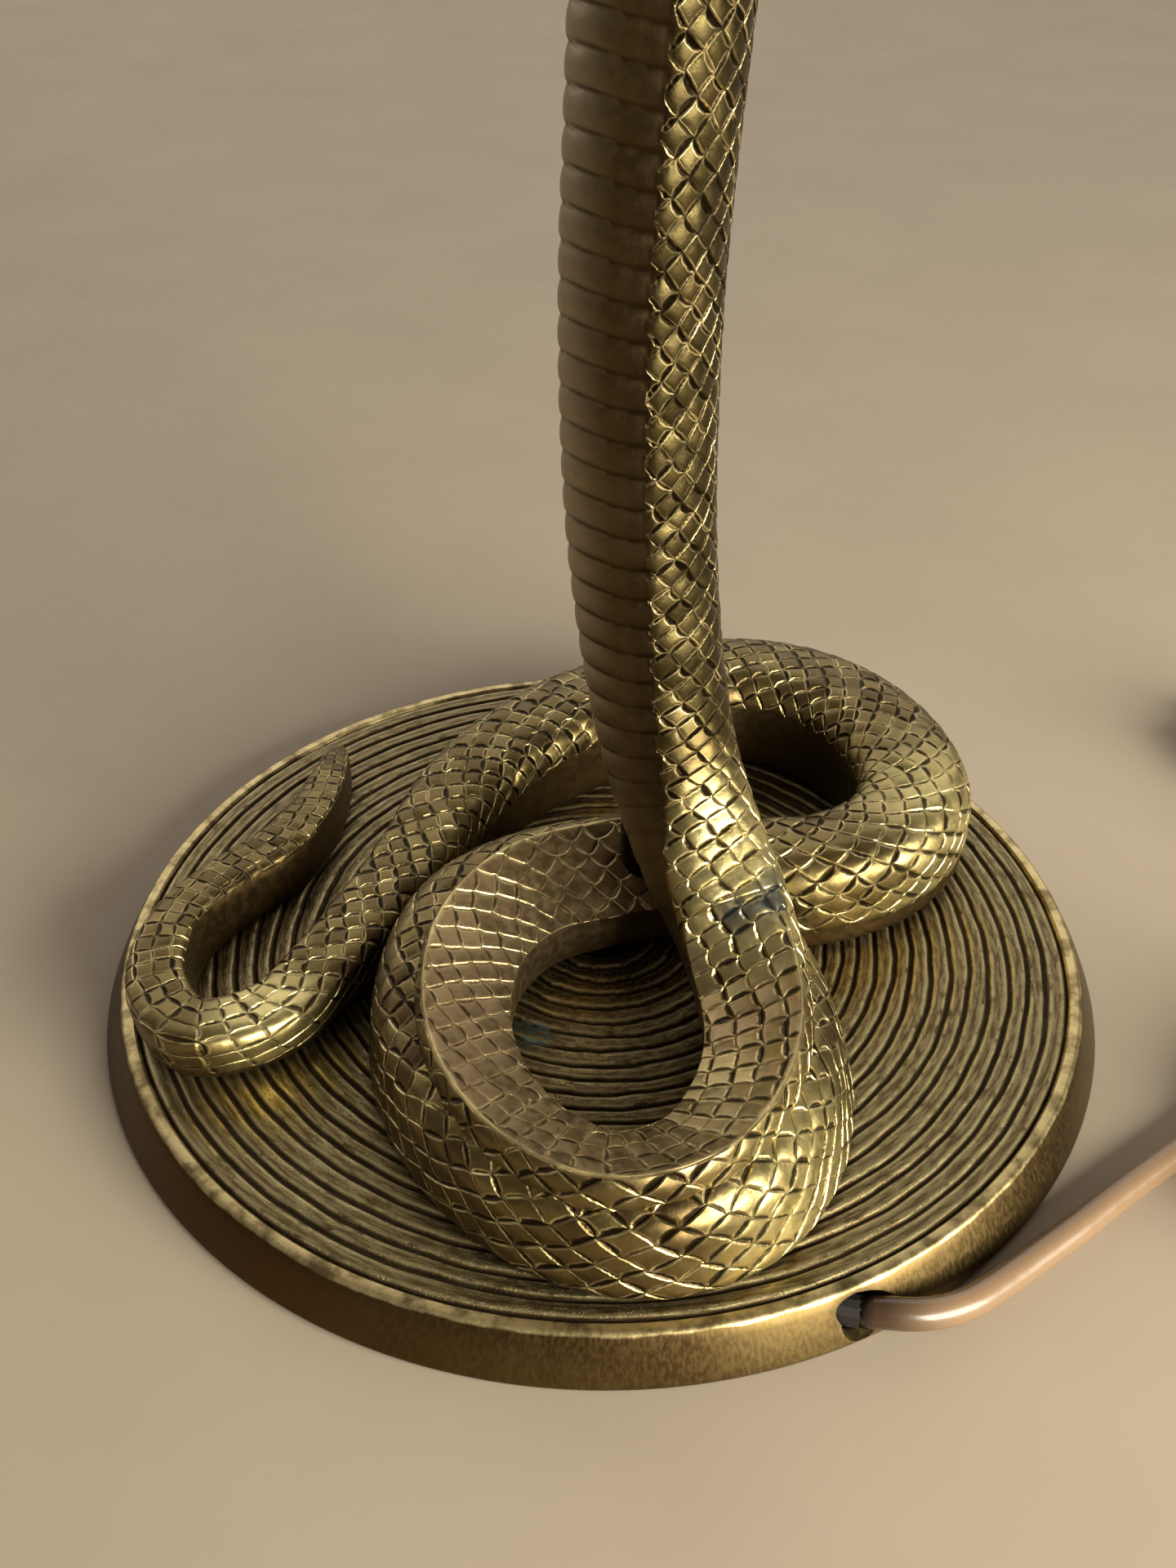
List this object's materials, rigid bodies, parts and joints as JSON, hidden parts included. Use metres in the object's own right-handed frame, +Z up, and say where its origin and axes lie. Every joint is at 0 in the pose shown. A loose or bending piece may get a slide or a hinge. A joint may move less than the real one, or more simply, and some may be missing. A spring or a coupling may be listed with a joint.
{
  "type": "table lamp",
  "caption": "Table lamp cast in bronze as a coiled cobra that stands up from a ringed round base and carries a bulb and a fabric shade.",
  "frame": {"origin": "centre of the round base's flat underside", "axes": "+Z up, -Y to the front, +X to the right where the cord leaves"},
  "size_m": [0.3653, 0.3, 0.65],
  "materials": {
    "bronze": "cast, olive-gold patina with dark recesses and worn bright edges",
    "brass_fittings": "turned and lacquered",
    "bulb_metal": "pressed",
    "steel": "zinc plated",
    "eye_stone": "polished",
    "cover_board": "plain",
    "felt": "felted",
    "ceramic": "glazed",
    "bulb_glass": "clear",
    "shade_linen": "stiffened linen",
    "cord_sheath": "glossy beige",
    "lead_white": "plain",
    "dark_plastic": "moulded"
  },
  "bodies": {
    "stand": {"snake_tail_casting": "bronze", "snake_coil_casting": "bronze", "snake_column_casting": "bronze", "snake_hood_casting": "bronze", "snake_head_casting": "bronze", "snake_eye_left": "eye_stone", "snake_eye_right": "eye_stone", "snake_tongue": "brass_fittings", "base_casting": "bronze", "base_cover": "cover_board", "felt_pad": "felt", "cord_clamp_jaw_inner": "steel", "cord_clamp_jaw_outer": "steel", "cord_clamp_screw_inner": "steel", "cord_clamp_screw_outer": "steel", "snake_screw_1": "steel", "snake_screw_2": "steel", "snake_screw_3": "steel", "snake_screw_washer_1": "steel", "snake_screw_washer_2": "steel", "snake_screw_washer_3": "steel", "lamp_pipe": "brass_fittings", "pipe_foot_nut": "steel", "pipe_foot_washer": "steel", "pipe_sleeve": "brass_fittings", "pipe_locknut": "brass_fittings", "holder_cap": "brass_fittings", "holder_insert": "ceramic", "holder_contact": "brass_fittings", "holder_shell": "brass_fittings", "shade_ring_lower": "brass_fittings", "lead_live": "dark_plastic", "lead_neutral": "lead_white", "cord_inner": "cord_sheath", "cord_lead": "cord_sheath", "cord_coil": "cord_sheath", "cord_tail": "cord_sheath", "cord_tie": "dark_plastic", "plug_body": "cord_sheath", "plug_relief": "cord_sheath", "plug_pin_1": "brass_fittings", "plug_pin_2": "brass_fittings"},
    "shade": {"shade_fitter": "brass_fittings", "shade_arm_1": "brass_fittings", "shade_arm_2": "brass_fittings", "shade_arm_3": "brass_fittings", "shade_wire_lower": "steel", "shade_wire_upper": "steel", "shade_fabric": "shade_linen"},
    "shade_ring": {"shade_ring_upper": "brass_fittings"},
    "bulb": {"bulb_glass": "bulb_glass", "bulb_cap": "bulb_metal", "bulb_contact": "bulb_metal", "bulb_stem": "bulb_glass"},
    "switch": {"switch_spindle": "steel", "switch_key": "dark_plastic"}
  },
  "joints": [
    {"name": "shade_turn", "type": "hinge", "parent": "stand", "child": "shade", "pos_m": [0.0085, 0.001, 0.4743], "axis": [0, 0, 1], "continuous": true},
    {"name": "shade_ring_turn", "type": "hinge", "parent": "stand", "child": "shade_ring", "pos_m": [0.0085, 0.001, 0.478], "axis": [0, 0, 1], "range_deg": [0, 1080]},
    {"name": "bulb_turn", "type": "hinge", "parent": "stand", "child": "bulb", "pos_m": [0.0085, 0.001, 0.485], "axis": [0, 0, 1], "range_deg": [0, 900]},
    {"name": "switch_key_turn", "type": "hinge", "parent": "stand", "child": "switch", "pos_m": [0.0085, -0.029, 0.4568], "axis": [0, -1, 0], "continuous": true}
  ]
}
